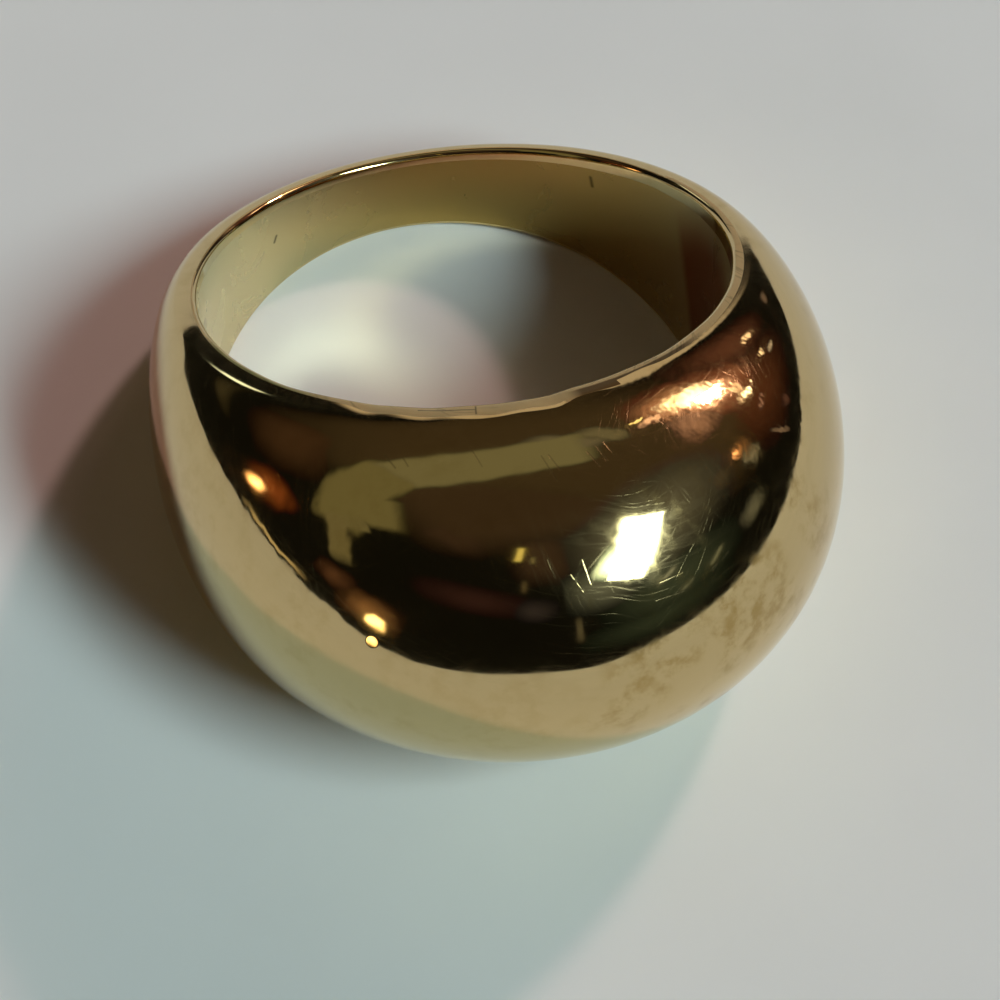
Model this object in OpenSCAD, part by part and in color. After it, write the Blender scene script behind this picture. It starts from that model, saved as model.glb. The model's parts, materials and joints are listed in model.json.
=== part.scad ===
/* [Finger hole] */
// Diameter of the finger hole
bore_d = 17.3; // [14:0.1:22]

/* [Outline round the finger] */
// How far the top of the dome stands out from the finger hole
dome_rise = 7.1; // [4:0.1:10]
// Wall at the shoulders, an eighth of a turn from the dome's top
shoulder_wall = 5; // [3:0.1:7]
// Wall at the sides, a quarter turn from the dome's top
side_wall = 2.05; // [1.2:0.05:3.5]
// Wall at the heels, an eighth of a turn from the middle of the shank
heel_wall = 1.5; // [0.9:0.05:2.5]
// Wall in the middle of the shank
shank_wall = 1.2; // [0.8:0.05:2]

/* [Rims] */
// Distance between the two rims under the dome's top
dome_width = 12.8; // [9:0.1:18]
// Distance between the two rims at the middle of the shank
shank_width = 3.1; // [2:0.1:6]
// Flat of each rim at the dome
dome_lip = 0.6; // [0.4:0.05:1]
// Flat of each rim at the shank
shank_lip = 0.35; // [0.3:0.05:0.8]

/* [Smoothness] */
// Sections round the ring
sections = 96; // [48:8:128]
// Steps across the ring from rim to rim
steps = 28; // [16:2:32]

/* [Hidden] */

bore_r = bore_d / 2;
// The drill that opens the finger hole is longer than the ring is wide
drill_length = 3 * dome_width;

// Each rim is flat: its height over the middle plane falls evenly from dome to shank
rim_slope = (dome_width - shank_width) / 2 / (bore_d + dome_lip + shank_lip);
rim_height = shank_width / 2 + rim_slope * (bore_r + shank_lip);
// The ring lies on one rim, so its finger hole leans back by the slope of that rim
lean = atan(rim_slope);

// Walls at each eighth of a turn, from the dome's top round to the shank
walls = [dome_rise, shoulder_wall, side_wall, heel_wall, shank_wall];

// Share that wall i has in the k-th cosine of the outline; the first and last wall count half
function end_half(i) = i == 0 || i == len(walls) - 1 ? 0.5 : 1;
function cosine_part(k) = 2 / (len(walls) - 1) * end_half(k)
    * [for (i = [0 : len(walls) - 1]) end_half(i) * walls[i] * cos(45 * i * k)] * [for (w = walls) 1];

cosines = [for (k = [0 : len(walls) - 1]) cosine_part(k)];

// Wall at angle a from the dome's top, smooth all the way round and symmetric
function wall(a) = cosines * [for (k = [0 : len(walls) - 1]) cos(k * a)];

// Width of the rim's flat at angle a
function lip(a) = (dome_lip + shank_lip) / 2 + (dome_lip - shank_lip) / 2 * cos(a);

// Height of the rim over the middle plane, y measured from the dome (minus) to the shank (plus)
function rim_z(y) = rim_height - rim_slope * y;

// A point of the outside: half an ellipse stands on the two rims at angle a,
// and t runs along it from -90 on the lower rim to 90 on the upper one.
// At the dome it leaves the rims level, and towards the shank along their slope
function follow(a) = (1 - cos(a)) / 2;
function bulge(a, t) = (wall(a) - lip(a)) * cos(t);
function skin_r(a, t) = bore_r + lip(a) + bulge(a, t);
function skin_z(a, t) = rim_z(-(bore_r + lip(a) + follow(a) * bulge(a, t)) * cos(a)) * sin(t);

// The same point as the ring lies, lower rim on the ground
function lay(p) = [p.x, p.y * cos(lean) + p.z * sin(lean),
                   p.z * cos(lean) - p.y * sin(lean) + rim_height * cos(lean)];
function skin(a, t) = lay([skin_r(a, t) * sin(a), -skin_r(a, t) * cos(a), skin_z(a, t)]);

angles = [for (i = [0 : sections - 1]) 360 * i / sections];
turns = [for (j = [0 : steps]) 180 * j / steps - 90];
skin_points = [for (a = angles, t = turns) skin(a, t)];

// The ring is set so that the middle of its box is over the origin
skin_ys = [for (p = skin_points) p.y];
middle_y = (min(skin_ys) + max(skin_ys)) / 2;

function at(i, j) = (i % sections) * (steps + 1) + j;

skin_faces = [
    for (i = [0 : sections - 1], j = [0 : steps - 1], half = [0, 1])
        half == 0 ? [at(i, j), at(i, j + 1), at(i + 1, j + 1)]
                  : [at(i, j), at(i + 1, j + 1), at(i + 1, j)],
];
lower_face = [for (i = [0 : sections - 1]) at(i, 0)];
upper_face = [for (i = [sections - 1 : -1 : 0]) at(i, steps)];

// The outside of the ring, filled in between its two rims
module blank() {
    translate([0, -middle_y, 0])
        polyhedron(points = skin_points, faces = concat(skin_faces, [lower_face, upper_face]),
                   convexity = 4);
}

// The round hole for the finger, square to the ring's own middle plane
module finger_hole() {
    translate([0, -middle_y, 0])
        translate(lay([0, 0, 0]))
            rotate([-lean, 0, 0])
                cylinder(h = drill_length, d = bore_d, center = true, $fn = 128);
}

module ring() {
    color("goldenrod")
        difference() {
            blank();
            finger_hole();
        }
}

ring();
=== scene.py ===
import json
from typing import Callable, NamedTuple

import bpy
import numpy as np
from bpy.props import FloatProperty, FloatVectorProperty, IntProperty, PointerProperty
from mathutils import Matrix, Vector


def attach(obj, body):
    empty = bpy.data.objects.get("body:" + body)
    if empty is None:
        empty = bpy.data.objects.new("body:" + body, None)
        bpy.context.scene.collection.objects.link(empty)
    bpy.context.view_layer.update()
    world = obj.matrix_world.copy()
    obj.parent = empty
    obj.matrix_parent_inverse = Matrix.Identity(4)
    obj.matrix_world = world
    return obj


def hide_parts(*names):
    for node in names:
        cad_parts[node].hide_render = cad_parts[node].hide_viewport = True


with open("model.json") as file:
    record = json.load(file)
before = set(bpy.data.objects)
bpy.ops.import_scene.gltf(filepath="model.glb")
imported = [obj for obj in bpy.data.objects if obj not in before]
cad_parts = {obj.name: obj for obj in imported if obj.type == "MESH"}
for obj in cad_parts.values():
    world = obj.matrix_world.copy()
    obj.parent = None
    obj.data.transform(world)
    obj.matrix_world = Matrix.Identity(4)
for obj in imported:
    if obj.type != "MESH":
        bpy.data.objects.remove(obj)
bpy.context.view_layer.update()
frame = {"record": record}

bl_info = {
    "name": "Dome ring",
    "version": (1, 0, 0),
    "blender": (4, 5, 0),
    "location": "3D View > Sidebar > Ring",
    "description": "A worn, mirror-polished dome ring, lying on its side on a pale floor",
    "category": "Object",
}

MM = 0.001
EIGHTH_TURN = np.pi / 4

# The finger hole's radius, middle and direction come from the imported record
HOLE = next(mount for mount in frame["record"]["mounts"] if mount["name"] == "finger_hole")
HOLE_RADIUS = HOLE["dims"]["r_mm"] * MM
HOLE_MIDDLE = HOLE["pos_m"]
HOLE_LEAN = float(np.arctan2(HOLE["axis"][1], HOLE["axis"][2]))


def length(name, text, millimetres):
    """A size in the panel, given here in millimetres and kept in metres."""
    return FloatProperty(name=name, description=text, default=millimetres * MM,
                         subtype="DISTANCE", unit="LENGTH", precision=5)


def share(name, text, value):
    """A plain number between 0 and 1 in the panel."""
    return FloatProperty(name=name, description=text, default=value, min=0, max=1,
                         subtype="FACTOR")


def angle(name, text, degrees):
    """An angle in the panel, given here in degrees and kept in radians."""
    return FloatProperty(name=name, description=text, default=np.radians(degrees),
                         subtype="ANGLE", unit="ROTATION")


def colour(name, text, value):
    """A linear colour in the panel."""
    return FloatVectorProperty(name=name, description=text, default=value, size=3,
                               min=0, subtype="COLOR")


class RingSizes(bpy.types.PropertyGroup):
    """Sizes of the ring."""

    hole_radius: length("Hole radius", "Radius of the finger hole", HOLE_RADIUS / MM)
    lean: angle("Lean", "How far the finger hole leans back as the ring lies", np.degrees(HOLE_LEAN))
    dome_rise: length("Dome rise", "Wall under the dome's top", 7.1)
    shoulder_wall: length("Shoulder wall", "Wall an eighth of a turn from the dome's top", 5.0)
    side_wall: length("Side wall", "Wall a quarter turn from the dome's top", 2.05)
    heel_wall: length("Heel wall", "Wall an eighth of a turn from the middle of the shank", 1.5)
    shank_wall: length("Shank wall", "Wall in the middle of the shank", 1.2)
    shank_width: length("Shank width", "Distance between the rims at the shank", 3.1)
    dome_lip: length("Dome lip", "Flat of each rim at the dome", 0.6)
    shank_lip: length("Shank lip", "Flat of each rim at the shank", 0.35)
    rim_round: length("Rim rounding", "Rounding between a rim and the finger hole", 0.12)
    edge_round: length("Edge rounding", "Rounding between a rim and the outside", 0.08)
    edge_wear: length("Edge wear", "How much more the rims are rounded where they are worn", 0.2)
    flat_wear: length("Flat wear", "How much wider the rims' flat is worn beside the dome's middle", 0.22)
    sections: IntProperty(name="Sections", description="Sections round the ring", default=640, min=64)
    skin_steps: IntProperty(name="Skin steps", description="Steps from rim to rim", default=96, min=16)
    press: length("Press", "How far the whole surface lies inside the CAD solid's", 0.003)
    ripple: length("Ripple", "Depth of the waves that hand polishing leaves", 0.008)


class RingFinish(bpy.types.PropertyGroup):
    """Colours and polish of the ring."""

    gold: colour("Gold", "Clean polished metal", (0.70, 0.53, 0.262))
    tarnish: colour("Tarnish", "Brown film on the worn side of the dome", (0.42, 0.26, 0.055))
    hole_gold: colour("Hole gold", "Metal inside the finger hole", (0.70, 0.60, 0.34))
    hole_glow: colour("Hole glow", "How much of its light the hole throws on the floor",
                      (0.63, 0.64, 0.77))
    polish: share("Polish", "Roughness of the dome", 0.06)
    hole_polish: share("Hole polish", "Roughness inside the finger hole", 0.28)
    rim_polish: share("Rim polish", "Roughness of the flat rims", 0.40)
    scratch_depth: length("Scratch depth", "Depth of the hairline scratches", 0.005)


class RingStage(bpy.types.PropertyGroup):
    """Floor, lights, room and camera."""

    floor: colour("Floor", "Pale floor", (0.785, 0.812, 0.835))
    backdrop: colour("Backdrop", "What the camera sees past the floor", (0.56, 0.57, 0.545))
    bounce: colour("Bounce", "Tint of the room's light on the floor", (1.0, 0.74, 0.68))
    window_light: FloatProperty(name="Window light", description="Brightness of the cool soft light",
                                default=22.5, min=0)
    lamp_light: FloatProperty(name="Lamp light", description="Brightness of the warm small light",
                              default=142.0, min=0)
    camera_azimuth: angle("Camera azimuth", "Turn of the camera from the dome's front", -24.45)
    camera_elevation: angle("Camera elevation", "Height of the camera over the floor", 60.17)
    camera_roll: angle("Camera roll", "Turn of the picture", 8.88)
    camera_distance: length("Camera distance", "From the camera to its aim", 82.95)
    aim: FloatVectorProperty(name="Aim", description="The point in the middle of the picture",
                             default=(-0.957 * MM, -3.861 * MM, 6.0 * MM), size=3, unit="LENGTH",
                             subtype="TRANSLATION", precision=5)
    lens: FloatProperty(name="Lens", description="Focal length on a 36 mm sensor", default=94.84,
                        unit="CAMERA")


NODE_SPACING = 190


class Graph:
    """Adds nodes to one tree. A value is a number, a tuple or another node's output."""

    def __init__(self, tree):
        self.tree = tree

    def feed(self, socket, value):
        """Links a socket to an output, or sets it to a constant."""
        if isinstance(value, bpy.types.NodeSocket):
            self.tree.links.new(value, socket)
        elif getattr(socket, "type", "") == "RGBA" and len(value) == 3:
            socket.default_value = (*value, 1)
        else:
            socket.default_value = value

    def add(self, kind, values=None, **settings):
        """One node, with its settings and its inputs by name."""
        node = self.tree.nodes.new(kind)
        node.location = (NODE_SPACING * len(self.tree.nodes), 0)
        for name, value in settings.items():
            setattr(node, name, value)
        for name, value in (values or {}).items():
            self.feed(node.inputs[name], value)
        return node

    def math(self, operation, *values, clamp=False):
        """Arithmetic on numbers."""
        node = self.add("ShaderNodeMath", operation=operation, use_clamp=clamp)
        for socket, value in zip(node.inputs, values):
            self.feed(socket, value)
        return node.outputs[0]

    def vector(self, operation, *values, scale=None):
        """Arithmetic on vectors; dot products and lengths come back as numbers."""
        node = self.add("ShaderNodeVectorMath", operation=operation)
        for socket, value in zip(node.inputs, values):
            self.feed(socket, value)
        if scale is not None:
            self.feed(node.inputs["Scale"], scale)
        return node.outputs[1 if operation in ("DOT_PRODUCT", "LENGTH", "DISTANCE") else 0]

    def soften(self, value, low, high, to_low=0.0, to_high=1.0):
        """A smooth step from low to high."""
        node = self.add("ShaderNodeMapRange", {"Value": value, "From Min": low, "From Max": high,
                                               "To Min": to_low, "To Max": to_high},
                        interpolation_type="SMOOTHSTEP")
        return node.outputs["Result"]

    def between(self, value, start, full, fading, end):
        """One between two smooth steps, and zero outside them."""
        return self.math("MULTIPLY", self.soften(value, start, full),
                         self.soften(value, fading, end, 1.0, 0.0))

    def mix(self, factor, a, b, blend="MIX"):
        """Mixes two colours."""
        node = self.add("ShaderNodeMix", data_type="RGBA", blend_type=blend)
        self.feed(node.inputs[0], factor)
        self.feed(node.inputs[6], a)
        self.feed(node.inputs[7], b)
        return node.outputs[2]

    def background(self, tint):
        """A plain glow of the world."""
        return self.add("ShaderNodeBackground", {"Color": tint, "Strength": 1.0}).outputs[0]

    def mix_shaders(self, factor, a, b):
        """Mixes two shaders."""
        node = self.add("ShaderNodeMixShader", {"Fac": factor})
        self.tree.links.new(a, node.inputs[1])
        self.tree.links.new(b, node.inputs[2])
        return node.outputs[0]

    def noise(self, vector, scale, detail=2.0, roughness=0.5, distortion=0.0):
        """Soft noise between 0 and 1."""
        node = self.add("ShaderNodeTexNoise", {"Vector": vector, "Scale": scale, "Detail": detail,
                                               "Roughness": roughness, "Distortion": distortion})
        return node.outputs["Fac"]

    def group(self, tree, values):
        """Places a node group."""
        node = self.add("ShaderNodeGroup", node_tree=tree)
        for name, value in values.items():
            self.feed(node.inputs[name], value)
        return node

    def end(self, kind, shader):
        """Adds the tree's output node and links a shader to it."""
        self.tree.links.new(shader, self.add(kind).inputs[0])


def empty_graph(owner):
    """The emptied node tree of a material or a world."""
    owner.use_nodes = True
    owner.node_tree.nodes.clear()
    return Graph(owner.node_tree)


def new_group(name, inputs, outputs):
    """An empty shader group with named sockets, and its input and output nodes."""
    tree = bpy.data.node_groups.new(name, "ShaderNodeTree")
    for label, kind, default in inputs:
        socket = tree.interface.new_socket(label, in_out="INPUT", socket_type=kind)
        if default is not None:
            socket.default_value = default
    for label, kind in outputs:
        tree.interface.new_socket(label, in_out="OUTPUT", socket_type=kind)
    graph = Graph(tree)
    return graph, graph.add("NodeGroupInput").outputs, graph.add("NodeGroupOutput").inputs


NUMBER = "NodeSocketFloat"
ARROW = "NodeSocketVector"
HUE = "NodeSocketColor"


def hairline_group():
    """Long thin scratches all in one direction: the level lines of a noise that is stretched along it,
    kept only where a second, broader noise, read elsewhere, is high."""
    graph, given, result = new_group(
        "Hairline scratches",
        [("Vector", ARROW, None), ("Angle", NUMBER, 0.0), ("Length", NUMBER, 3 * MM),
         ("Spacing", NUMBER, 0.3 * MM), ("Thinness", NUMBER, 0.03), ("Cover", NUMBER, 0.5),
         ("Seed", NUMBER, 0.0)],
        [("Mask", NUMBER)])
    turned = graph.add("ShaderNodeVectorRotate", {"Vector": given["Vector"], "Angle": given["Angle"]},
                       rotation_type="Z_AXIS").outputs[0]
    parts = graph.add("ShaderNodeSeparateXYZ", {"Vector": turned}).outputs
    along = graph.math("DIVIDE", parts["X"], given["Length"])
    across = graph.math("DIVIDE", parts["Y"], given["Spacing"])
    stretched = graph.add("ShaderNodeCombineXYZ",
                          {"X": along, "Y": across, "Z": given["Seed"]}).outputs[0]
    level = graph.noise(stretched, 1.0, detail=1.0)
    from_level = graph.math("ABSOLUTE", graph.math("SUBTRACT", level, 0.5))
    line = graph.soften(from_level, 0.0, given["Thinness"], 1.0, 0.0)
    elsewhere = graph.vector("ADD", stretched, (7.3, 1.9, 4.1))
    patches = graph.noise(elsewhere, 0.45, detail=1.0)
    kept = graph.soften(patches, graph.math("SUBTRACT", 1.0, given["Cover"]),
                        graph.math("SUBTRACT", 1.12, given["Cover"]))
    graph.feed(result["Mask"], graph.math("MULTIPLY", line, kept))
    return graph.tree


def single_scratch_group():
    """One straight scratch between two points: one on the line between them, with a smooth step down
    to zero at its half width."""
    graph, given, result = new_group(
        "Single scratch",
        [("Vector", ARROW, None), ("From", ARROW, None), ("To", ARROW, None),
         ("Half Width", NUMBER, 0.03 * MM)],
        [("Mask", NUMBER)])
    run = graph.vector("SUBTRACT", given["To"], given["From"])
    here = graph.vector("SUBTRACT", given["Vector"], given["From"])
    along = graph.math("DIVIDE", graph.vector("DOT_PRODUCT", here, run),
                       graph.vector("DOT_PRODUCT", run, run), clamp=True)
    gap = graph.vector("DISTANCE", here, graph.vector("SCALE", run, scale=along))
    depth = graph.soften(gap, 0.0, given["Half Width"], 1.0, 0.0)
    graph.feed(result["Mask"], depth)
    return graph.tree


def tarnish_group():
    """Mottled film: two sizes of noise multiplied, and kept above a threshold. It is all there within
    a third of its reach from one middle point, and thins out to a share of it at its reach."""
    graph, given, result = new_group(
        "Mottled tarnish",
        [("Vector", ARROW, None), ("Patch Size", NUMBER, 0.7 * MM), ("Amount", NUMBER, 0.5),
         ("Middle", ARROW, None), ("Reach", NUMBER, 8 * MM), ("Share Elsewhere", NUMBER, 0.3)],
        [("Mask", NUMBER)])
    fine = graph.math("DIVIDE", 1.0, given["Patch Size"])
    broad = graph.math("MULTIPLY", fine, 0.3)
    small = graph.noise(given["Vector"], fine, detail=5.0, roughness=0.62)
    large = graph.noise(given["Vector"], broad, detail=2.0, distortion=0.4)
    both = graph.math("MULTIPLY", graph.soften(small, 0.40, 0.68), graph.soften(large, 0.38, 0.62))
    gap = graph.vector("DISTANCE", given["Vector"], given["Middle"])
    near = graph.soften(gap, graph.math("MULTIPLY", given["Reach"], 0.3), given["Reach"], 1.0,
                        given["Share Elsewhere"])
    amount = graph.math("MULTIPLY", given["Amount"], near)
    graph.feed(result["Mask"], graph.math("MULTIPLY", both, amount, clamp=True))
    return graph.tree


def handling_group():
    """Faint smears that change the polish: broad noise with a little fine noise in it."""
    graph, given, result = new_group(
        "Handling smears",
        [("Vector", ARROW, None), ("Size", NUMBER, 2.5 * MM), ("Low", NUMBER, 0.05),
         ("High", NUMBER, 0.12)],
        [("Roughness", NUMBER)])
    scale = graph.math("DIVIDE", 1.0, given["Size"])
    smear = graph.noise(given["Vector"], scale, detail=4.0, roughness=0.6, distortion=0.6)
    graph.feed(result["Roughness"], graph.soften(smear, 0.3, 0.7, given["Low"], given["High"]))
    return graph.tree


def room_patch_group():
    """One soft-edged rectangle of the room, seen in a direction. Right and Up are divided by the
    tangents of half its width and height, so what a direction has of them, over what it has of
    Facing, is 1 at its edges."""
    graph, given, result = new_group(
        "Room patch",
        [("Direction", ARROW, None), ("Facing", ARROW, None), ("Right", ARROW, None),
         ("Up", ARROW, None), ("Softness", NUMBER, 0.5), ("Colour", HUE, None)],
        [("Colour", HUE)])
    ahead = graph.math("MAXIMUM", 0.01, graph.vector("DOT_PRODUCT", given["Direction"],
                                                     given["Facing"]))
    inner = graph.math("SUBTRACT", 1.0, given["Softness"])
    masks = []
    for way in ("Right", "Up"):
        off = graph.math("ABSOLUTE", graph.vector("DOT_PRODUCT", given["Direction"], given[way]))
        masks.append(graph.soften(graph.math("DIVIDE", off, ahead), inner, 1.0, 1.0, 0.0))
    mask = graph.math("MULTIPLY", *masks)
    graph.feed(result["Colour"], graph.vector("SCALE", given["Colour"], scale=mask))
    return graph.tree


def outline_wall(sizes, turn):
    """Wall round the ring: the sum of five cosines of the turn that passes through the five named
    walls, an eighth of a turn apart, from the dome's top to the shank."""
    walls = np.array([sizes.dome_rise, sizes.shoulder_wall, sizes.side_wall, sizes.heel_wall,
                      sizes.shank_wall])
    count = len(walls)
    half_ends = np.ones(count)
    half_ends[[0, -1]] = 0.5
    order = np.arange(count)
    shares = np.cos(EIGHTH_TURN * np.outer(order, order)) * half_ends * half_ends[:, None]
    cosines = 2 / (count - 1) * shares @ walls
    return np.cos(np.asarray(turn)[..., None] * order) @ cosines


def lay(sizes, turn, radius, height):
    """The place of a point of the ring as it lies: its turn, radius and height round the upright
    finger hole, leant back and moved to the hole's middle."""
    lean = sizes.lean
    across, back = radius * np.sin(turn), -radius * np.cos(turn)
    return np.stack([across + HOLE_MIDDLE[0],
                     back * np.cos(lean) + height * np.sin(lean) + HOLE_MIDDLE[1],
                     height * np.cos(lean) - back * np.sin(lean) + HOLE_MIDDLE[2]], axis=-1)


def lip_width(sizes, turn):
    """Width of a rim: it eases from the dome's lip to the shank's as a cosine does."""
    return ((sizes.dome_lip + sizes.shank_lip) + (sizes.dome_lip - sizes.shank_lip) * np.cos(turn)) / 2


def rim_height(sizes, turn, radius):
    """Height of the upper rim's plane over the ring's middle plane."""
    slope = np.tan(sizes.lean)
    middle = sizes.shank_width / 2 + slope * (sizes.hole_radius + sizes.shank_lip)
    return middle + slope * radius * np.cos(turn)


def skin_section(sizes, turn, rise):
    """Radius and height of the outside. At each turn it is half an ellipse on the two rims, which it
    leaves level at the dome and along their slope at the shank."""
    foot = sizes.hole_radius + lip_width(sizes, turn)
    bulge = (outline_wall(sizes, turn) - lip_width(sizes, turn)) * np.cos(rise)
    follow = (1 - np.cos(turn)) / 2
    return foot + bulge, rim_height(sizes, turn, foot + follow * bulge) * np.sin(rise)


def smooth_step(value, low, high):
    """A smooth step from 0 at low to 1 at high."""
    part = np.clip((value - low) / (high - low), 0, 1)
    return part * part * (3 - 2 * part)


def close_to(turn, middle, reach, power=2):
    """One at a middle turn, easing to zero beyond its reach, both in degrees: e to the minus x, where
    x is the distance over the reach, raised to a power."""
    return np.exp(-((turn - np.radians(middle)) / np.radians(reach)) ** power)


def at_the_back(turn):
    """One at the middle of the shank, easing to zero towards both sides of the ring."""
    return close_to(np.pi - np.abs(turn), middle=0, reach=60, power=4)


def worn_rounding(sizes, turn):
    """Rounding of the rims' inner edges: it wavers with three cosines of the turn, and is widest at
    one worn place on the left and at the back of the shank. It takes at most 0.85 of what the outer
    edge leaves of the lip."""
    waver = 0.5 + (np.cos(7 * turn + 1) + np.cos(13 * turn) + np.cos(22 * turn + 2)) / 6
    worn_place = close_to(turn, middle=-88, reach=5)
    wear = np.maximum(np.maximum(0.5 * waver, worn_place), at_the_back(turn))
    rounding = sizes.rim_round + sizes.edge_wear * wear
    return np.minimum(rounding, 0.85 * (lip_width(sizes, turn) - worn_edge(sizes, turn)))


def worn_edge(sizes, turn):
    """Rounding of the rims' outer edges: wide at the left of the ring, about a third as wide at its
    right, and narrow at the back and at the dome's middle, where only one place right of it is worn,
    with three quick cosines over it. It takes at most 0.6 of the lip."""
    waver = (np.cos(17 * turn) + np.cos(29 * turn + 1) + np.cos(43 * turn + 4)) / 3
    worn_place = 0.7 * close_to(turn, middle=17, reach=5)
    front = close_to(turn, middle=0, reach=32, power=4)
    sides = (1 - front - at_the_back(turn)) * np.where(turn > 0, 0.35, 1)
    wear = np.maximum(worn_place + sides + 0.25 * waver * front, 0)
    return np.minimum(sizes.edge_round + sizes.edge_wear * wear, 0.6 * lip_width(sizes, turn))


def worn_flat(sizes, turn):
    """How much wider than its lip the rims' flat is: it is worn down left of the dome's middle,
    between two smooth steps of the turn, with a quick cosine over it."""
    degrees = np.degrees(turn)
    stretch = smooth_step(degrees, -42, -32) * (1 - smooth_step(degrees, 0, 6))
    return sizes.flat_wear * stretch * (0.85 + 0.15 * np.cos(31 * turn))


def flat_height(sizes, turn, radius):
    """Height of the rim's flat: the rim's plane, but as much lower where it is worn as widens it so."""
    return rim_height(sizes, turn, radius - worn_flat(sizes, turn))


# Steps over the bend, the flat and the rounding of a rim, and down the finger hole's wall
BEND_STEPS, FLAT_STEPS, ROUNDING_STEPS, WALL_STEPS = 5, 3, 8, 16

# The ring's three zones, numbered as their materials are
SKIN, RIM, HOLE_WALL = 0, 1, 2


def bend(start, corner, end):
    """A quadratic curve that leaves its start towards a corner and reaches its end from there. Neither
    end is in it."""
    along = np.linspace(0, 1, BEND_STEPS + 1)[1:-1]
    return tuple((1 - along) ** 2 * a + 2 * along * (1 - along) * b + along ** 2 * c
                 for a, b, c in zip(start, corner, end))


def rim_section(sizes, turn, skin_end):
    """Radius and height of the upper rim's three parts. A short curve bends from the skin's end onto
    the flat, whose height falls evenly from dome to shank, but for a stretch that is worn lower, and a
    quarter circle rounds the flat into the finger hole."""
    foot = sizes.hole_radius + lip_width(sizes, turn) + worn_flat(sizes, turn)
    outer = foot - worn_edge(sizes, turn)
    rounding = worn_rounding(sizes, turn)
    inner = sizes.hole_radius + rounding
    curve = bend(skin_end, (foot, flat_height(sizes, turn, foot)),
                 (outer, flat_height(sizes, turn, outer)))
    flat = outer + (inner - outer) * np.linspace(0, 1, FLAT_STEPS + 1)
    quarter = np.linspace(np.pi / 2, 0, ROUNDING_STEPS + 1)[1:]
    corner = inner - rounding * np.cos(quarter)
    corner_height = flat_height(sizes, turn, corner) - rounding * (1 - np.sin(quarter))
    return [curve, (flat, flat_height(sizes, turn, flat)), (corner, corner_height)]


def ring_profile(sizes, turn):
    """Radius and height of the whole section at each turn, as two arrays with a row for each turn,
    and the material zone of each of its points.

    The skin stops short of the upper rim by an angle in radians: what is worn there over the skin's
    bulge, but at most 0.2. The rim leads to the finger hole's straight wall, and the lower rim is the
    upper one mirrored. The flats are matt but for the back of the shank, and so is the bend beside
    them on one stretch right of the dome's middle, which takes the rims' painted brown reflection."""
    turn = turn[:, None]
    worn = worn_edge(sizes, turn) + worn_flat(sizes, turn)
    spare = np.minimum(worn / (outline_wall(sizes, turn) - lip_width(sizes, turn)), 0.2)
    rise = np.linspace(-1, 1, sizes.skin_steps + 1) * (np.pi / 2 - spare)
    skin = skin_section(sizes, turn, rise)
    rim = rim_section(sizes, turn, [part[:, -1:] for part in skin])
    wall_height = rim[-1][1][:, -1:] * np.linspace(1, -1, WALL_STEPS + 1)[1:-1]
    wall = (np.full_like(wall_height, sizes.hole_radius), wall_height)
    lower_rim = [(radius[:, ::-1], -height[:, ::-1]) for radius, height in reversed(rim)]
    parts = [skin, *rim, wall, *lower_rim]
    front = np.abs(turn) < np.radians(112)
    # The stretch where the bend, too, takes the rims' matt metal with its painted brown reflection
    brown_reflection_stretch = (turn > np.radians(2)) & (turn < np.radians(13))
    rim_zones = [RIM * brown_reflection_stretch, RIM * front, SKIN]
    zones = [SKIN, *rim_zones, HOLE_WALL, *reversed(rim_zones)]
    spread = [np.broadcast_to(zone, part[0].shape) for zone, part in zip(zones, parts)]
    radius, height = (np.concatenate([part[i] for part in parts], axis=1) for i in (0, 1))
    return radius, height, np.concatenate(spread, axis=1)


def ripples(points):
    """Slow waves left by hand polishing, from 0 to 1: three long and two short crossed sines of the
    place in space. Each has its waves to a metre along the three axes, its start and its height."""
    waves = [((310, 190, 240), 0.4, 1.0), ((-260, 330, 150), 2.1, 1.0), ((180, -140, 420), 4.0, 1.0),
             ((720, -510, 640), 1.3, 0.3), ((-640, 780, -420), 3.3, 0.3)]
    total = sum(height * np.sin(points @ np.array(number) * 2 * np.pi + start)
                for number, start, height in waves)
    return 0.5 + total / (2 * sum(height for _, _, height in waves))


def grid_normals(points):
    """Unit normals of a closed grid, from the cross product of its central differences."""
    round_step = np.roll(points, -1, 0) - np.roll(points, 1, 0)
    across_step = np.roll(points, -1, 1) - np.roll(points, 1, 1)
    normal = np.cross(round_step, across_step)
    return normal / np.linalg.norm(normal, axis=-1, keepdims=True)


def closed_grid_mesh(name, points, zones, around, along):
    """A mesh from a grid that closes both ways. Its UV map holds lengths in metres, round the ring
    and along the section, and each face takes its material from the zone of its first corner."""
    rows, columns = points.shape[:2]
    index = np.arange(rows * columns).reshape(rows, columns)
    next_row = np.roll(index, -1, 0)
    corners = np.stack([index, next_row, np.roll(next_row, -1, 1), np.roll(index, -1, 1)], axis=-1)
    mesh = bpy.data.meshes.new(name)
    mesh.vertices.add(rows * columns)
    mesh.vertices.foreach_set("co", points.astype(np.float32).ravel())
    mesh.loops.add(corners.size)
    mesh.loops.foreach_set("vertex_index", corners.astype(np.int32).ravel())
    mesh.polygons.add(rows * columns)
    mesh.polygons.foreach_set("loop_start", np.arange(0, corners.size, 4, dtype=np.int32))
    mesh.polygons.foreach_set("material_index", zones.astype(np.int32).ravel())
    mesh.polygons.foreach_set("use_smooth", np.ones(rows * columns, bool))
    mesh.update(calc_edges=True)
    u_now, u_next = around[:-1, None], around[1:, None]
    v_now, v_next = along[:, :-1], along[:, 1:]
    v_row = np.roll(v_now, -1, 0)
    v_row_next = np.roll(v_next, -1, 0)
    blank = np.zeros_like(v_now)
    uv = np.stack([np.stack([u_now + blank, v_now], -1), np.stack([u_next + blank, v_row], -1),
                   np.stack([u_next + blank, v_row_next], -1), np.stack([u_now + blank, v_next], -1)],
                  axis=2)
    layer = mesh.uv_layers.new(name="lengths")
    layer.uv.foreach_set("vector", uv.astype(np.float32).ravel())
    mesh.validate()
    return mesh


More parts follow.
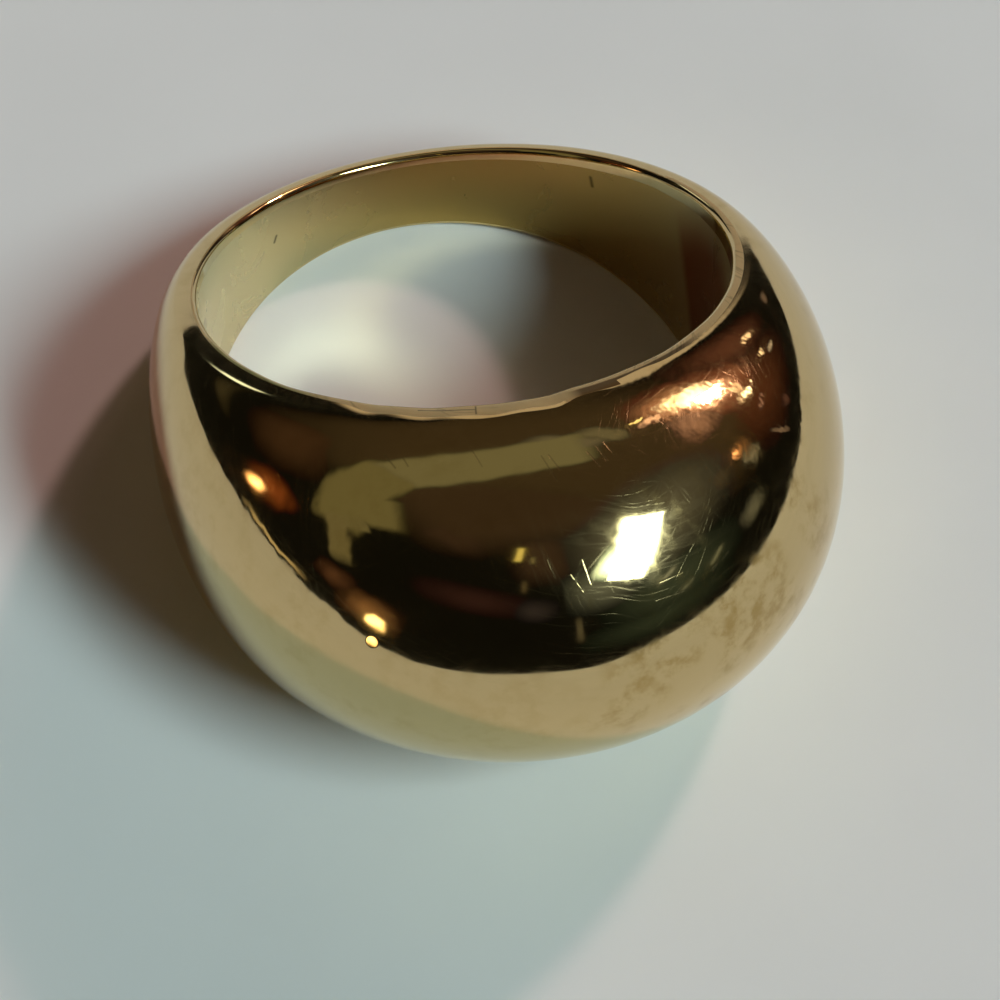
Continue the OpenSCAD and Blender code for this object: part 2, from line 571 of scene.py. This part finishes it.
def ring_mesh(sizes):
    """The whole ring as one closed surface of two parameters: the turn from the dome's top and the
    place along the section. It is pressed in a little along the normal, and the outside by the
    polishing waves as well."""
    turn = np.linspace(-np.pi, np.pi, sizes.sections, endpoint=False)
    radius, height, zones = ring_profile(sizes, turn)
    points = lay(sizes, turn[:, None], radius, height)
    normals = grid_normals(points)
    on_skin = (zones == SKIN)[..., None]
    waves = np.where(on_skin, (ripples(points) * sizes.ripple)[..., None], 0)
    points = points - normals * (sizes.press + waves)
    steps = np.hypot(np.diff(radius, axis=1, append=radius[:, :1]),
                     np.diff(height, axis=1, append=height[:, :1]))
    along = np.concatenate([np.zeros((sizes.sections, 1)), np.cumsum(steps, axis=1)], axis=1)
    around = np.linspace(-np.pi, np.pi, sizes.sections + 1) * (sizes.hole_radius + sizes.side_wall)
    return closed_grid_mesh("ring_body", points, zones, around, along)


class Mark(NamedTuple):
    """A scratch seen by itself on the outside: turn and rise of both ends in degrees, and half its
    width in millimetres."""

    turn: float
    rise: float
    end_turn: float
    end_rise: float
    half_width: float


MARKS = [
    # Short nicks under the upper rim, left
    Mark(-28.9, 74.2, -26.8, 70.5, 0.06),
    Mark(-26.0, 74.2, -24.9, 71.5, 0.05),
    Mark(-15.5, 78.2, -13.8, 72.2, 0.04),
    # A row of slanting scratches beside the middle
    Mark(-4.8, 73.5, -3.5, 66.2, 0.05),
    Mark(-3.7, 73.5, -2.6, 68.7, 0.045),
    Mark(2.1, 72.0, 3.1, 67.5, 0.06),
    Mark(3.7, 73.2, 4.3, 68.5, 0.06),
    Mark(5.1, 73.5, 5.6, 70.2, 0.05),
    # Round the window's reflection
    Mark(-6.5, 45.9, -5.9, 41.2, 0.05),
    Mark(-3.9, 41.2, -2.8, 36.4, 0.06),
    Mark(-2.3, 44.4, -1.8, 37.9, 0.06),
    Mark(6.2, 33.7, 9.2, 33.9, 0.06),
    Mark(5.3, 29.4, 9.2, 28.9, 0.06),
    Mark(13.0, 30.7, 15.8, 32.9, 0.05),
]

# The same on the upper rim, where the rise is the distance from its outer edge in millimetres
RIM_MARKS = [
    Mark(-25.0, 0.30, -19.6, 0.27, 0.05),
    Mark(-19.6, 0.27, -14.2, 0.24, 0.05),
    Mark(-14.2, 0.00, -14.2, 0.42, 0.05),
]

# The same in the finger hole, where the rise is a height in millimetres over its middle
HOLE_MARKS = [
    Mark(132.4, 1.50, 131.9, 1.15, 0.12),
    Mark(-147.7, 0.40, -147.0, 0.20, 0.10),
]

# Where the skin has small waves: turn and rise in degrees, the noise's scale to a metre, and height
WAVY_PLACES = [(27, 72, 1600.0, 1.0), (-38, 27, 750.0, 1.6)]

# By turn and rise in degrees: a small flat spot, and the middle of the dome's brown film
FLAT_SPOT = (-27.3, 18.8)
FILM_MIDDLE = (16, 12)

# The colour of dirt, and what each painted dark reflection leaves of the metal's colour: olive and brown
# on the rims, dark red of the shadowed floor in the finger hole
DIRT = (0.05, 0.03, 0.01)
OLIVE_DARK_REFLECTION = (0.50, 0.62, 0.45)
BROWN_DARK_REFLECTION = (0.22, 0.18, 0.12)
RED_SHADOW_REFLECTION = (0.58, 0.25, 0.15)

# How much rougher the film is than bare metal, and the share of scratched metal between scratches
FILM_ROUGHNESS = 0.18
FINE_HAZE = 0.012


def skin_place(sizes, turn, rise):
    """The point of the outside at a turn and a rise in degrees."""
    turn = np.radians(turn)
    return tuple(lay(sizes, turn, *skin_section(sizes, turn, np.radians(rise))).tolist())


def rim_place(sizes, turn, inset):
    """The point of the upper rim at a turn in degrees and a distance in millimetres from its edge."""
    turn = np.radians(turn)
    radius = sizes.hole_radius + lip_width(sizes, turn) - inset * MM
    return tuple(lay(sizes, turn, radius, flat_height(sizes, turn, radius)).tolist())


def hole_place(sizes, turn, height):
    """The point of the finger hole's wall at a turn in degrees and a height in millimetres."""
    return tuple(lay(sizes, np.radians(turn), sizes.hole_radius, height * MM).tolist())


class Surface(NamedTuple):
    """What a material reads from its surface: the place in space, the lengths along it, and the
    film's mask."""

    place: bpy.types.NodeSocket
    lengths: bpy.types.NodeSocket
    film: bpy.types.NodeSocket


def dome_skin(graph, sizes, finish, surface):
    """The gold under its brown film."""
    return graph.mix(surface.film, finish.gold, finish.tarnish)


def rim_skin(graph, sizes, finish, surface):
    """The same on the rims, darkened along the turn by painted reflections of the dark room: olive at the
    left, and brown right of the dome's middle, where it leaves the inner edge bare."""
    along = graph.add("ShaderNodeSeparateXYZ", {"Vector": surface.lengths}).outputs["X"]
    # Painted reflection of the dark room: olive over the rims' left stretch
    olive = graph.between(along, -15.5 * MM, -14.0 * MM, -10.5 * MM, -7.5 * MM)
    axis = (0.0, float(np.sin(sizes.lean)), float(np.cos(sizes.lean)))
    inside = graph.vector("SUBTRACT", surface.place, tuple(HOLE_MIDDLE))
    lift = graph.vector("SCALE", axis, scale=graph.vector("DOT_PRODUCT", inside, axis))
    from_edge = graph.math("SUBTRACT", graph.vector("DISTANCE", inside, lift), sizes.hole_radius)
    # Painted reflection of the dark room: brown right of the dome's middle, away from the inner edge
    brown = graph.math("MULTIPLY", graph.between(along, 0.5 * MM, 1.2 * MM, 5.6 * MM, 7.2 * MM),
                       graph.soften(from_edge, 0.25 * MM, 0.33 * MM))
    skin = dome_skin(graph, sizes, finish, surface)
    skin = graph.mix(olive, skin, OLIVE_DARK_REFLECTION, blend="MULTIPLY")
    return graph.mix(brown, skin, BROWN_DARK_REFLECTION, blend="MULTIPLY")


def hole_skin(graph, sizes, finish, surface):
    """The finger hole's metal under a brown film, and browner and darker towards the back on the right;
    and a dark red painted reflection of the shadowed floor on its right, cut off along one leaning
    plane. The floor gets its light dulled."""
    back_and_right, across_the_cut = (0.6, 1.0, 0.0), (0.0, 1.0, -0.63)
    shadow_reflection_middle = (8.4 * MM, 2.2 * MM, 3.2 * MM)
    # Browner and darker towards the back on the right of the hole
    back_right_darkening = graph.soften(graph.vector("DOT_PRODUCT", surface.place, back_and_right),
                       5.5 * MM, 12.5 * MM, 0.0, 0.86)
    skin = graph.mix(graph.math("MAXIMUM", surface.film, back_right_darkening), finish.hole_gold, finish.tarnish)
    # Painted reflection of the shadowed floor: dark red on the hole's right wall
    cut = graph.soften(graph.vector("DOT_PRODUCT", surface.place, across_the_cut),
                       2.2 * MM, 2.8 * MM, 1.0, 0.0)
    near = graph.soften(graph.vector("DISTANCE", surface.place, shadow_reflection_middle),
                        2.5 * MM, 4.5 * MM, 1.0, 0.0)
    skin = graph.mix(graph.math("MULTIPLY", cut, near), skin, RED_SHADOW_REFLECTION, blend="MULTIPLY")
    path = graph.add("ShaderNodeLightPath").outputs
    return graph.mix(path["Is Diffuse Ray"], skin,
                     graph.mix(1.0, skin, finish.hole_glow, blend="MULTIPLY"))


class GoldLook(NamedTuple):
    """How one zone of the ring looks: its colour's function, its roughness, the share by which smears
    change it, and its tarnish; its hairlines, each an angle in degrees, a spacing in millimetres, a
    thinness and a cover, and how strongly they show; its marks and the function of their places; how
    high its small waves are in millimetres; how dirty its scratches are, and whether that leaves the
    hairlines clean."""

    name: str
    skin: Callable
    polish: float
    smears: float
    tarnish: float
    hairlines: list
    hairline_share: float
    marks: list
    where: Callable
    waves: float
    dirt: float
    clean_hairlines: bool


def hairlines_mask(graph, lengths, group, look):
    """Hairlines at several angles, each five times as long as its spacing, as the largest of them at
    each point."""
    total = 0.0
    for number, (turn, spacing, thinness, cover) in enumerate(look.hairlines):
        mask = graph.group(group, {
            "Vector": lengths, "Angle": float(np.radians(turn)), "Length": 5 * spacing * MM,
            "Spacing": spacing * MM, "Thinness": thinness, "Cover": cover,
            "Seed": 3.7 * number}).outputs[0]
        total = mask if number == 0 else graph.math("MAXIMUM", total, mask)
    return total


def marks_mask(graph, sizes, place, group, look):
    """A look's marks one by one, as the largest of them at each point."""
    total = 0.0
    for mark in look.marks:
        mask = graph.group(group, {
            "Vector": place, "From": look.where(sizes, mark.turn, mark.rise),
            "To": look.where(sizes, mark.end_turn, mark.end_rise),
            "Half Width": mark.half_width * MM}).outputs[0]
        total = graph.math("MAXIMUM", total, mask)
    return total


def uneven_normal(graph, sizes, place, depth):
    """The normal with small waves: fine noise round the worn place on the dome's right shoulder, and
    noise twice as broad low on its left. One small flat spot below the left one faces a little more
    upwards than the skin round it."""
    height = 0.0
    for turn, rise, scale, high in WAVY_PLACES:
        gap = graph.vector("DISTANCE", place, skin_place(sizes, turn, rise))
        near = graph.soften(gap, 1.5 * MM, 5.0 * MM, high, 0.05)
        waves = graph.math("MULTIPLY", graph.noise(place, scale, detail=2.0, roughness=0.5), near)
        height = graph.math("ADD", height, waves)
    bump = graph.add("ShaderNodeBump", {"Height": height, "Distance": depth, "Strength": 1.0})
    gap = graph.vector("DISTANCE", place, skin_place(sizes, *FLAT_SPOT))
    on_spot = graph.soften(gap, 0.17 * MM, 0.23 * MM, 1.0, 0.0)
    upwards = graph.vector("SCALE", (0.0, 0.0, 0.115), scale=on_spot)
    return graph.vector("NORMALIZE", graph.vector("ADD", bump.outputs[0], upwards))


def smooth_metal(graph, sizes, group, look, surface, skin):
    """The metal between the scratches. Smears and the film vary its polish, and small waves its
    normal."""
    polish = graph.group(group, {
        "Vector": surface.place, "Low": look.polish * (1 - look.smears),
        "High": look.polish * (1 + look.smears)}).outputs[0]
    rough = graph.math("ADD", polish, graph.math("MULTIPLY", surface.film, FILM_ROUGHNESS))
    shader = graph.add("ShaderNodeBsdfPrincipled", {
        "Base Color": skin, "Metallic": 1.0, "Roughness": rough})
    if look.waves > 0:
        normal = uneven_normal(graph, sizes, surface.place, look.waves * MM)
        graph.feed(shader.inputs["Normal"], normal)
    return shader.outputs[0]


def scratched_metal(graph, finish, look, skin, lines, nicks):
    """The duller metal along the scratches, with its normal tilted into them and dirt in them."""
    bump = graph.add("ShaderNodeBump", {"Height": graph.math("MAXIMUM", lines, nicks), "Strength": 1.0,
                                        "Distance": finish.scratch_depth}, invert=True)
    dirt = graph.math("MULTIPLY", nicks, look.dirt) if look.clean_hairlines else look.dirt
    return graph.add("ShaderNodeBsdfPrincipled", {
        "Base Color": graph.mix(dirt, skin, DIRT), "Metallic": 1.0, "Roughness": 0.2,
        "Normal": bump.outputs[0]}).outputs[0]


def gold_material(sizes, finish, groups, look):
    """Worn gold. The scratched metal shows along the scratches, the more so in dirty nicks, and hardly
    elsewhere: so a strong light near by lights them up, and a dim room doesn't. It is left out of
    reflections, which saves time."""
    material = bpy.data.materials.new(look.name)
    graph = empty_graph(material)
    coordinates = graph.add("ShaderNodeTexCoord").outputs
    place, lengths = coordinates["Object"], coordinates["UV"]
    film = graph.group(groups["tarnish"], {
        "Vector": place, "Amount": look.tarnish, "Middle": skin_place(sizes, *FILM_MIDDLE)}).outputs[0]
    surface = Surface(place, lengths, film)
    skin = look.skin(graph, sizes, finish, surface)
    smooth = smooth_metal(graph, sizes, groups["handling"], look, surface, skin)
    lines = hairlines_mask(graph, lengths, groups["hairline"], look)
    nicks = marks_mask(graph, sizes, place, groups["scratch"], look)
    scratched = scratched_metal(graph, finish, look, skin, lines, nicks)
    on_lines = graph.math("MULTIPLY_ADD", lines, look.hairline_share, FINE_HAZE)
    on_nicks = graph.math("MULTIPLY", nicks, 0.3 + 0.6 * look.dirt)
    both = graph.mix_shaders(graph.math("MAXIMUM", on_lines, on_nicks), smooth, scratched)
    path = graph.add("ShaderNodeLightPath").outputs
    graph.end("ShaderNodeOutputMaterial", graph.mix_shaders(path["Is Camera Ray"], smooth, both))
    return material


def gold_materials(sizes, finish):
    """The three finishes of the one piece of metal, in the order of their zones."""
    groups = {"hairline": hairline_group(), "scratch": single_scratch_group(),
              "tarnish": tarnish_group(), "handling": handling_group()}
    every_way = [(15, 0.30, 0.10, 0.60), (75, 0.33, 0.09, 0.55), (135, 0.27, 0.10, 0.55)]
    looks = (
        GoldLook("Polished dome", skin=dome_skin, polish=finish.polish, smears=0.3, tarnish=0.65,
                 hairlines=every_way, hairline_share=0.04, marks=MARKS, where=skin_place, waves=0.012,
                 dirt=0.5, clean_hairlines=True),
        GoldLook("Worn rims", skin=rim_skin, polish=finish.rim_polish, smears=0.1, tarnish=0.5,
                 hairlines=[(0, 0.30, 0.08, 0.5)], hairline_share=0.3, marks=RIM_MARKS,
                 where=rim_place, waves=0.02, dirt=0.8, clean_hairlines=False),
        GoldLook("Finger hole", skin=hole_skin, polish=finish.hole_polish, smears=0.06, tarnish=0.1,
                 hairlines=[], hairline_share=0.0, marks=HOLE_MARKS, where=hole_place, waves=0.0,
                 dirt=0.8, clean_hairlines=False),
    )
    return [gold_material(sizes, finish, groups, look) for look in looks]


def looking(azimuth, elevation):
    """Unit vector that points at a place in the room: azimuth from +Y towards +X, elevation from
    the floor, in radians."""
    return Vector((np.cos(elevation) * np.sin(azimuth), np.cos(elevation) * np.cos(azimuth),
                   np.sin(elevation)))


def side_and_up(facing, tilt=0.0):
    """Level right and upright vectors across a direction, turned by tilt round it."""
    right = facing.cross(Vector((0, 0, 1))).normalized()
    up = right.cross(facing)
    return (right * np.cos(tilt) + up * np.sin(tilt), up * np.cos(tilt) - right * np.sin(tilt))


def place_light(name, azimuth, elevation, tilt, width, height, distance, radiance, tint):
    """An area light that faces the ring from a distance, as wide and as high as the given sizes look
    from one metre. Its power is its radiance times pi times its area; angles are in degrees."""
    facing = looking(np.radians(azimuth), np.radians(elevation))
    right, up = side_and_up(facing, np.radians(tilt))
    data = bpy.data.lights.new(name, "AREA")
    data.shape = "RECTANGLE"
    data.size, data.size_y = width * distance, height * distance
    data.color = tint
    data.energy = radiance * np.pi * data.size * data.size_y
    light = bpy.data.objects.new(name, data)
    turn = Matrix((right, up, facing)).transposed().to_4x4()
    light.matrix_world = Matrix.Translation(facing * distance) @ turn
    bpy.context.scene.collection.objects.link(light)
    return light


def place_window(stage):
    """The window: one light for the floor, where its shadows point to, and its image a little higher
    up, which only the metal shows."""
    tint = (0.80, 1.0, 0.98)
    window = place_light("Window", azimuth=138.2, elevation=45, tilt=47, width=0.187, height=0.52,
                         distance=2.0, radiance=stage.window_light, tint=tint)
    window.visible_glossy = False
    image = place_light("Window image", azimuth=142.2, elevation=48.6, tilt=46, width=0.21,
                        height=0.52, distance=2.0, radiance=stage.window_light, tint=tint)
    image.visible_diffuse = False


class RoomPatch(NamedTuple):
    """One soft patch of the room as the metal sees it. Angles are in degrees: azimuth from +Y towards
    +X, elevation from the floor, and half the patch's width and height."""

    azimuth: float
    elevation: float
    tilt: float
    half_width: float
    half_height: float
    softness: float
    colour: tuple


# What lights the floor and shows in the metal
ROOM = [
    # Brown ceiling and walls, and the two long runs of the olive beam
    RoomPatch(40, 62, 0, 60, 40, 0.7, (0.056, 0.041, 0.023)),
    RoomPatch(0, 86, 0, 40, 34, 0.6, (0.050, 0.034, 0.021)),
    RoomPatch(-175, 60, 0, 12, 19, 0.8, (0.048, 0.031, 0.021)),
    RoomPatch(-4, 64.5, 0, 22, 10.5, 0.3, (0.195, 0.190, 0.115)),
    RoomPatch(-68, 51, 35, 26, 10, 0.3, (0.168, 0.158, 0.080)),
    # Haze round the window
    RoomPatch(122, 53, 0, 40, 28, 1.0, (0.110, 0.110, 0.095)),
    # The bright middle of the reddish side
    RoomPatch(50, 36, -30, 24, 15, 1.0, (0.36, 0.13, 0.08)),
    RoomPatch(47, 39, -30, 15, 10, 1.0, (1.2, 0.60, 0.40)),
    RoomPatch(45, 39, 0, 6.0, 6.0, 0.8, (6.0, 4.6, 3.6)),
    # Pale wall behind the ring, which the rims and their outer edges catch
    RoomPatch(15, 15, 0, 9, 16, 0.4, (0.55, 0.48, 0.40)),
]

# What shows in the metal only, left of the middle
LEFT_DETAILS = [
    # More brown walls
    RoomPatch(-36, 35, 0, 30, 17, 0.9, (0.055, 0.031, 0.017)),
    RoomPatch(-120, 66, 0, 16, 12, 0.8, (0.048, 0.031, 0.021)),
    RoomPatch(-148, 35, 0, 26, 12, 1.0, (0.036, 0.017, 0.017)),
    RoomPatch(-25, 13, 0, 24, 4, 1.0, (0.050, 0.044, 0.026)),
    # The olive beam's bend and its lower end
    RoomPatch(-82, 50, 22, 11, 12, 0.4, (0.168, 0.158, 0.080)),
    RoomPatch(-91, 43, 30, 5, 5, 0.4, (0.165, 0.155, 0.085)),
    RoomPatch(-95, 32, 44, 16, 5.5, 0.5, (0.175, 0.162, 0.090)),
    # Warm lamps on the left, each with its glow
    RoomPatch(-70, 12.0, 0, 3.8, 4.8, 1.0, (9.0, 5.0, 2.3)),
    RoomPatch(-72, 19, 0, 12, 10, 1.0, (0.28, 0.080, 0.024)),
    RoomPatch(-124, 2.6, 0, 4.0, 4.5, 0.7, (6.0, 4.4, 2.2)),
    RoomPatch(-121, 7, 0, 12, 11, 1.0, (0.26, 0.14, 0.07)),
    RoomPatch(-107, 12, 0, 9, 8, 1.0, (0.10, 0.05, 0.03)),
    # Small openings behind the camera
    RoomPatch(-162, 62.4, 5, 1.2, 4.6, 0.4, (0.95, 0.85, 0.28)),
    RoomPatch(-170, 59, 0, 1.2, 3.0, 0.8, (0.22, 0.20, 0.11)),
    RoomPatch(-166, 45, 0, 1.4, 5.0, 0.9, (0.12, 0.10, 0.06)),
    RoomPatch(-170, 32, 0, 9.0, 9.0, 1.0, (0.035, 0.031, 0.038)),
    # Low lights, which the rims and their outer edges catch
    RoomPatch(-3, 8, 0, 3.0, 3.5, 0.7, (1.8, 2.1, 2.0)),
    RoomPatch(-88, -0.6, 0, 16, 1.4, 0.6, (0.60, 0.50, 0.30)),
]

# The same, right of the middle
RIGHT_DETAILS = [
    # The olive beam's upper end
    RoomPatch(24, 57, 25, 10, 5.0, 0.6, (0.160, 0.150, 0.110)),
    RoomPatch(34, 54, 25, 9, 3.0, 0.7, (0.170, 0.160, 0.110)),
    # A small opening behind the camera
    RoomPatch(176, 18, 0, 1.3, 9.0, 0.6, (0.10, 0.095, 0.070)),
    # Glow, haze and streaks round the window
    RoomPatch(156, 48.5, 46, 4.5, 10, 0.9, (3.6, 5.0, 4.6)),
    RoomPatch(142, 22, 0, 32, 18, 1.0, (0.040, 0.058, 0.046)),
    RoomPatch(165, 38, 0, 16, 16, 1.0, (0.130, 0.155, 0.150)),
    RoomPatch(150, 10, 0, 34, 12, 1.0, (0.030, 0.044, 0.034)),
    RoomPatch(143, 28, -20, 5.0, 1.0, 0.6, (0.40, 0.46, 0.42)),
    RoomPatch(140, 17, -20, 4.0, 1.2, 0.8, (0.22, 0.26, 0.22)),
    RoomPatch(127, 18, -25, 5.0, 1.0, 0.6, (0.28, 0.32, 0.26)),
    RoomPatch(109, 15.6, 0, 8.0, 6.0, 0.9, (0.140, 0.150, 0.130)),
    RoomPatch(100, 38, 0, 12, 10, 1.0, (0.070, 0.060, 0.045)),
    # The rest of the reddish side
    RoomPatch(68, 25, 0, 26, 24, 1.0, (0.095, 0.036, 0.020)),
    RoomPatch(38, 21, 0, 14, 13, 1.0, (0.12, 0.050, 0.035)),
    RoomPatch(62, 45, 0, 12, 8, 1.0, (0.45, 0.26, 0.21)),
    # Its small lamps and streaks
    RoomPatch(43.5, 48, 0, 1.6, 5.0, 0.9, (1.6, 1.0, 0.8)),
    RoomPatch(55, 33, -35, 10, 1.6, 0.9, (2.4, 1.7, 1.3)),
    RoomPatch(64, 28.5, 0, 2.8, 2.8, 0.6, (6.0, 4.8, 4.0)),
    RoomPatch(90, 33.4, 0, 2.0, 2.2, 0.5, (3.4, 1.7, 0.9)),
    RoomPatch(91.7, 26, 0, 3.2, 3.8, 0.5, (0.28, 0.28, 0.25)),
    RoomPatch(39, 49, 0, 1.0, 2.2, 0.5, (2.2, 1.8, 0.9)),
    RoomPatch(40, 5, 0, 4.0, 1.5, 0.8, (0.20, 0.15, 0.13)),
    RoomPatch(42.3, 17.3, 0, 2.2, 1.8, 0.8, (2.2, 1.6, 1.2)),
    RoomPatch(54.3, 17.9, 0, 2.2, 1.8, 0.8, (2.2, 1.7, 1.3)),
    RoomPatch(55.7, 13.1, 0, 2.0, 1.6, 0.8, (0.7, 0.6, 0.55)),
    RoomPatch(72, 23, 0, 4.0, 1.6, 0.8, (0.40, 0.22, 0.20)),
    RoomPatch(76, 9, 0, 3.0, 5.0, 1.0, (0.11, 0.055, 0.050)),
    RoomPatch(84.5, 12, 0, 1.2, 7.0, 0.7, (0.24, 0.18, 0.16)),
    # A low light, which the rims' outer edges catch
    RoomPatch(16, 17, 0, 1.4, 5.0, 1.0, (1.9, 1.7, 1.3)),
]


def room_colour(graph, direction, group, patches, base):
    """An even colour, or the brightest of the soft patches where they are brighter."""
    total = base
    for patch in patches:
        facing = looking(np.radians(patch.azimuth), np.radians(patch.elevation))
        right, up = side_and_up(facing, np.radians(patch.tilt))
        glow = graph.group(group, {
            "Direction": direction, "Facing": tuple(facing),
            "Right": tuple(right / np.tan(np.radians(patch.half_width))),
            "Up": tuple(up / np.tan(np.radians(patch.half_height))),
            "Softness": patch.softness, "Colour": patch.colour}).outputs[0]
        total = graph.vector("MAXIMUM", total, glow)
    return total


def make_room(stage):
    """The world: the camera sees a pale backdrop, the metal sees the whole dark room, and the floor
    gets the room's broad light a little warmer, as it comes off brown walls. Each side's details are
    worked out only for rays that go to that side, which saves time."""
    world = bpy.data.worlds.new("Room")
    graph = empty_graph(world)
    direction = graph.add("ShaderNodeTexCoord").outputs["Generated"]
    path = graph.add("ShaderNodeLightPath").outputs
    group = room_patch_group()
    broad = room_colour(graph, direction, group, ROOM, (0.006, 0.006, 0.0045))
    left = graph.background(room_colour(graph, direction, group, LEFT_DETAILS, broad))
    right = graph.background(room_colour(graph, direction, group, RIGHT_DETAILS, broad))
    to_the_right = graph.math("GREATER_THAN", graph.vector("DOT_PRODUCT", direction, (1, 0, 0)), 0.0)
    mirrored = graph.mix_shaders(to_the_right, left, right)
    light = graph.background(graph.mix(1.0, broad, stage.bounce, blend="MULTIPLY"))
    room = graph.mix_shaders(path["Is Diffuse Ray"], mirrored, light)
    backdrop = graph.background(stage.backdrop)
    graph.end("ShaderNodeOutputWorld", graph.mix_shaders(path["Is Camera Ray"], room, backdrop))
    world.cycles.sampling_method = "NONE"
    bpy.context.scene.world = world


# How far the floor reaches from the ring, in millimetres, every eighth of a turn from +Y towards +X
FLOOR_REACH = [230, 260, 300, 260, 115, 62, 170, 60]
FLOOR_CORNERS = 256
FLOOR_DROP = 0.01 * MM


def floor_mesh():
    """A flat sheet a hair below the ring. Its edge is a smooth closed curve through its reach in eight
    directions: between two of them the reach eases from one to the other as a cosine does."""
    turn = np.linspace(0, 2 * np.pi, FLOOR_CORNERS, endpoint=False)
    place = turn / EIGHTH_TURN
    before = np.floor(place).astype(int)
    ease = (1 - np.cos(np.pi * (place - before))) / 2
    reach = np.array(FLOOR_REACH) * MM
    radius = reach[before] * (1 - ease) + np.roll(reach, -1)[before] * ease
    points = np.stack([radius * np.sin(turn), radius * np.cos(turn),
                       np.full(FLOOR_CORNERS, -FLOOR_DROP)], axis=-1)
    mesh = bpy.data.meshes.new("floor")
    mesh.from_pydata(points.tolist(), [], [list(reversed(range(FLOOR_CORNERS)))])
    return mesh


def floor_material(tint):
    """Pale and matt, and slightly uneven: soft clouds darken it by up to four percent."""
    material = bpy.data.materials.new("Pale floor")
    graph = empty_graph(material)
    place = graph.add("ShaderNodeTexCoord").outputs["Object"]
    cloud = graph.noise(place, 60.0, detail=3.0)
    shade = graph.mix(graph.soften(cloud, 0.3, 0.7), tint, tuple(0.96 * part for part in tint))
    shader = graph.add("ShaderNodeBsdfPrincipled", {"Base Color": shade, "Roughness": 0.7,
                                                    "Specular IOR Level": 0.0})
    graph.end("ShaderNodeOutputMaterial", shader.outputs[0])
    return material


def place_camera(stage):
    """Looks at the aim from the photograph's angle, with the picture turned by the roll."""
    towards = -looking(np.pi - stage.camera_azimuth, stage.camera_elevation)
    right, up = side_and_up(towards, stage.camera_roll)
    data = bpy.data.cameras.new("Camera")
    data.lens = stage.lens
    data.clip_start = MM
    camera = bpy.data.objects.new("Camera", data)
    turn = Matrix((right, up, -towards)).transposed().to_4x4()
    camera.matrix_world = Matrix.Translation(Vector(stage.aim) - towards * stage.camera_distance) @ turn
    bpy.context.scene.collection.objects.link(camera)
    bpy.context.scene.camera = camera


class RING_OT_make_ring(bpy.types.Operator):
    """Make the ring and let it stand for its CAD solid"""

    bl_idname = "ring.make_ring"
    bl_label = "Make ring"

    def execute(self, context):
        mesh = ring_mesh(context.scene.ring_sizes)
        for material in gold_materials(context.scene.ring_sizes, context.scene.ring_finish):
            mesh.materials.append(material)
        ring = bpy.data.objects.new("ring_body", mesh)
        context.scene.collection.objects.link(ring)
        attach(ring, "root")
        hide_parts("ring")
        return {"FINISHED"}


class RING_OT_make_stage(bpy.types.Operator):
    """Make the floor, the lights, the room and the camera"""

    bl_idname = "ring.make_stage"
    bl_label = "Make stage"

    def execute(self, context):
        stage = context.scene.ring_stage
        floor = bpy.data.objects.new("floor", floor_mesh())
        floor.data.materials.append(floor_material(stage.floor))
        context.scene.collection.objects.link(floor)
        place_window(stage)
        place_light("Lamp", azimuth=52, elevation=37, tilt=0, width=0.08, height=0.08,
                    distance=2.0, radiance=stage.lamp_light, tint=(1.0, 0.60, 0.54))
        make_room(stage)
        place_camera(stage)
        context.scene.view_settings.view_transform = "Standard"
        context.scene.cycles.blur_glossy = 0.0
        context.scene.cycles.max_bounces = 5
        context.scene.cycles.diffuse_bounces = 2
        context.scene.cycles.glossy_bounces = 3
        return {"FINISHED"}


class RING_PT_panel(bpy.types.Panel):
    """Sizes, finish and stage of the dome ring"""

    bl_idname = "RING_PT_panel"
    bl_label = "Dome ring"
    bl_space_type = "VIEW_3D"
    bl_region_type = "UI"
    bl_category = "Ring"

    def draw(self, context):
        layout = self.layout
        for group in ("ring_sizes", "ring_finish", "ring_stage"):
            values = getattr(context.scene, group)
            box = layout.box()
            for name in values.__annotations__:
                box.prop(values, name)
        for operator in (RING_OT_make_ring, RING_OT_make_stage):
            layout.operator(operator.bl_idname)


CLASSES = (RingSizes, RingFinish, RingStage, RING_OT_make_ring, RING_OT_make_stage, RING_PT_panel)
GROUPS = {"ring_sizes": RingSizes, "ring_finish": RingFinish, "ring_stage": RingStage}


def register():
    """Adds the classes, and the ring's settings to the scene."""
    for item in CLASSES:
        bpy.utils.register_class(item)
    for name, group in GROUPS.items():
        setattr(bpy.types.Scene, name, PointerProperty(type=group))


def unregister():
    """Takes them away again."""
    for name in GROUPS:
        delattr(bpy.types.Scene, name)
    for item in reversed(CLASSES):
        bpy.utils.unregister_class(item)


def main():
    """Builds the ring and its stage."""
    register()
    bpy.ops.ring.make_ring()
    bpy.ops.ring.make_stage()


if __name__ == "__main__":
    main()
